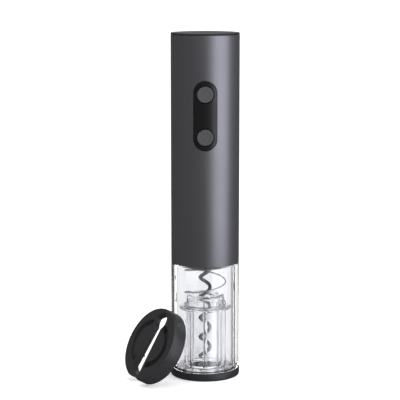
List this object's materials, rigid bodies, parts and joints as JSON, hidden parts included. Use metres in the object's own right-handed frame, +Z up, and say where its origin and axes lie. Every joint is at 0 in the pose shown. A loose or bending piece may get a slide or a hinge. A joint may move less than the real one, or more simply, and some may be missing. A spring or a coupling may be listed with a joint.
{
  "type": "electric wine opener",
  "caption": "Upright electric corkscrew with a grey tube body, button panel and clear chamber showing worm and sprung cork guide, with a round black foil cutter leaning on it.",
  "frame": {"origin": "the centre of the footprint that the opener and its foil cutter share, on the surface they stand on; the opener's own axis is parallel to Z at x = 16.1 mm, y = 11.9 mm", "axes": "+Z up along the opener; the opener's front, with its two buttons, faces -Y; the foil cutter leans against its left front, towards -X and -Y"},
  "size_m": [0.0812, 0.0728, 0.243],
  "materials": {
    "gunmetal": "satin anodised gunmetal grey",
    "cap_black": "fine satin moulded, black",
    "black_plastic": "satin moulded, black",
    "panel_black": "semi-gloss black",
    "button_grey": "fine matt dark grey",
    "clear_plastic": "polished clear moulding",
    "clear_guide": "polished clear moulding, slightly frosted inside",
    "spring_steel": "bright drawn spring wire",
    "worm_steel": "polished and coated steel wire",
    "zinc_steel": "zinc plated",
    "motor_steel": "plated deep-drawn can",
    "bronze": "sintered, oiled",
    "grey_plastic": "glass-filled moulding",
    "gear_metal": "sintered powder metal",
    "nickel": "nickel plated",
    "cell_wrap": "shrink-wrapped cell",
    "board_green": "glass-fibre board with solder mask",
    "red_wire": "insulated wire",
    "black_wire": "insulated wire",
    "cutter_black": "satin moulded, black",
    "wheel_steel": "hardened and ground"
  },
  "bodies": {
    "opener": {"base_ring": "black_plastic", "chamber_tube": "clear_plastic", "guide_spring": "spring_steel", "mounting_plate": "black_plastic", "gearbox_cover": "zinc_steel", "output_bush": "bronze", "gearbox_housing": "grey_plastic", "motor_can": "motor_steel", "motor_end_cap": "black_plastic", "mount_screw_1": "nickel", "mount_screw_2": "nickel", "mount_screw_3": "nickel", "motor_screw_1": "nickel", "motor_screw_2": "nickel", "body_shell": "gunmetal", "chassis_front": "grey_plastic", "chassis_rear": "grey_plastic", "chassis_screw_1": "nickel", "chassis_screw_2": "nickel", "battery_tray": "grey_plastic", "battery_1": "cell_wrap", "battery_2": "cell_wrap", "battery_3": "cell_wrap", "battery_4": "cell_wrap", "contact_spring_1": "spring_steel", "contact_spring_2": "spring_steel", "button_panel": "panel_black", "switch_up": "black_plastic", "switch_down": "black_plastic", "control_board": "board_green", "motor_lead_red": "red_wire", "motor_lead_black": "black_wire"},
    "worm_drive": {"worm": "worm_steel", "worm_chuck": "zinc_steel", "carrier_output": "gear_metal"},
    "planet_out_a": {"planet_output_a": "gear_metal"},
    "planet_out_b": {"planet_output_b": "gear_metal"},
    "planet_out_c": {"planet_output_c": "gear_metal"},
    "middle_carrier": {"carrier_input": "gear_metal"},
    "planet_in_a": {"planet_input_a": "gear_metal"},
    "planet_in_b": {"planet_input_b": "gear_metal"},
    "planet_in_c": {"planet_input_c": "gear_metal"},
    "motor_rotor": {"motor_pinion": "gear_metal"},
    "sprung_guide": {"cork_guide": "clear_guide"},
    "battery_cap": {"top_cap": "cap_black", "cap_contact_left": "nickel", "cap_contact_right": "nickel"},
    "up_button": {"button_up": "button_grey"},
    "down_button": {"button_down": "button_grey"},
    "foil_cutter": {"cutter_half_left": "cutter_black", "wheel_axle_1": "wheel_steel", "wheel_axle_2": "wheel_steel"},
    "foil_cutter_grip": {"cutter_half_right": "cutter_black", "wheel_axle_3": "wheel_steel", "wheel_axle_4": "wheel_steel"},
    "blade_1": {"cutting_wheel_1": "wheel_steel"},
    "blade_2": {"cutting_wheel_2": "wheel_steel"},
    "blade_3": {"cutting_wheel_3": "wheel_steel"},
    "blade_4": {"cutting_wheel_4": "wheel_steel"}
  },
  "joints": [
    {"name": "worm_spin", "type": "hinge", "parent": "opener", "child": "worm_drive", "pos_m": [0.01611, 0.01193, 0.08], "axis": [0, 0, 1], "continuous": true},
    {"name": "planet_output_a_spin", "type": "hinge", "parent": "worm_drive", "child": "planet_out_a", "pos_m": [0.02556, 0.01193, 0.0894], "axis": [0, 0, 1], "continuous": true},
    {"name": "planet_output_b_spin", "type": "hinge", "parent": "worm_drive", "child": "planet_out_b", "pos_m": [0.01138, 0.02011, 0.0894], "axis": [0, 0, 1], "continuous": true},
    {"name": "planet_output_c_spin", "type": "hinge", "parent": "worm_drive", "child": "planet_out_c", "pos_m": [0.01138, 0.00374, 0.0894], "axis": [0, 0, 1], "continuous": true},
    {"name": "middle_carrier_spin", "type": "hinge", "parent": "opener", "child": "middle_carrier", "pos_m": [0.01611, 0.01193, 0.1], "axis": [0, 0, 1], "continuous": true},
    {"name": "planet_input_a_spin", "type": "hinge", "parent": "middle_carrier", "child": "planet_in_a", "pos_m": [0.02556, 0.01193, 0.0999], "axis": [0, 0, 1], "continuous": true},
    {"name": "planet_input_b_spin", "type": "hinge", "parent": "middle_carrier", "child": "planet_in_b", "pos_m": [0.01138, 0.02011, 0.0999], "axis": [0, 0, 1], "continuous": true},
    {"name": "planet_input_c_spin", "type": "hinge", "parent": "middle_carrier", "child": "planet_in_c", "pos_m": [0.01138, 0.00374, 0.0999], "axis": [0, 0, 1], "continuous": true},
    {"name": "motor_spin", "type": "hinge", "parent": "opener", "child": "motor_rotor", "pos_m": [0.01611, 0.01193, 0.11], "axis": [0, 0, 1], "continuous": true},
    {"name": "guide_slide", "type": "slide", "parent": "opener", "child": "sprung_guide", "axis": [0, 0, 1], "range_m": [0, 0.02], "stiffness_N_per_m": 150, "springref_m": -0.01, "deforming": ["guide_spring"]},
    {"name": "cap_lift", "type": "slide", "parent": "opener", "child": "battery_cap", "axis": [0, 0, 1], "range_m": [0, 0.012]},
    {"name": "up_button_press", "type": "slide", "parent": "opener", "child": "up_button", "axis": [0, 1, 0], "range_m": [0, 0.0008], "stiffness_N_per_m": 400, "springref_m": -0.0005},
    {"name": "down_button_press", "type": "slide", "parent": "opener", "child": "down_button", "axis": [0, 1, 0], "range_m": [0, 0.0008], "stiffness_N_per_m": 400, "springref_m": -0.0005},
    {"name": "cutter_away", "type": "slide", "parent": "opener", "child": "foil_cutter", "axis": [-0.8406, -0.5417, 0], "range_m": [0, 0.03]},
    {"name": "cutter_squeeze", "type": "hinge", "parent": "foil_cutter", "child": "foil_cutter_grip", "pos_m": [-0.0113, -0.00831, 0.05014], "axis": [0.7316, 0.4715, -0.4924], "range_deg": [0, 4], "stiffness_Nm_per_rad": 0.6},
    {"name": "blade_1_spin", "type": "hinge", "parent": "foil_cutter", "child": "blade_1", "pos_m": [-0.02401, 0.00722, 0.03109], "axis": [-0.7316, -0.4715, 0.4924], "continuous": true},
    {"name": "blade_2_spin", "type": "hinge", "parent": "foil_cutter", "child": "blade_2", "pos_m": [-0.02949, 0.0049, 0.02075], "axis": [-0.7316, -0.4715, 0.4924], "continuous": true},
    {"name": "blade_3_spin", "type": "hinge", "parent": "foil_cutter_grip", "child": "blade_3", "pos_m": [-0.0055, -0.02436, 0.02836], "axis": [-0.7316, -0.4715, 0.4924], "continuous": true},
    {"name": "blade_4_spin", "type": "hinge", "parent": "foil_cutter_grip", "child": "blade_4", "pos_m": [-0.01097, -0.02668, 0.01802], "axis": [-0.7316, -0.4715, 0.4924], "continuous": true}
  ],
  "couplings": [
    {"joint": "planet_output_a_spin", "follows": "worm_spin", "ratio": -2.5},
    {"joint": "planet_output_b_spin", "follows": "worm_spin", "ratio": -2.5},
    {"joint": "planet_output_c_spin", "follows": "worm_spin", "ratio": -2.5},
    {"joint": "middle_carrier_spin", "follows": "worm_spin", "ratio": 6},
    {"joint": "planet_input_a_spin", "follows": "worm_spin", "ratio": -15},
    {"joint": "planet_input_b_spin", "follows": "worm_spin", "ratio": -15},
    {"joint": "planet_input_c_spin", "follows": "worm_spin", "ratio": -15},
    {"joint": "motor_spin", "follows": "worm_spin", "ratio": 36}
  ]
}
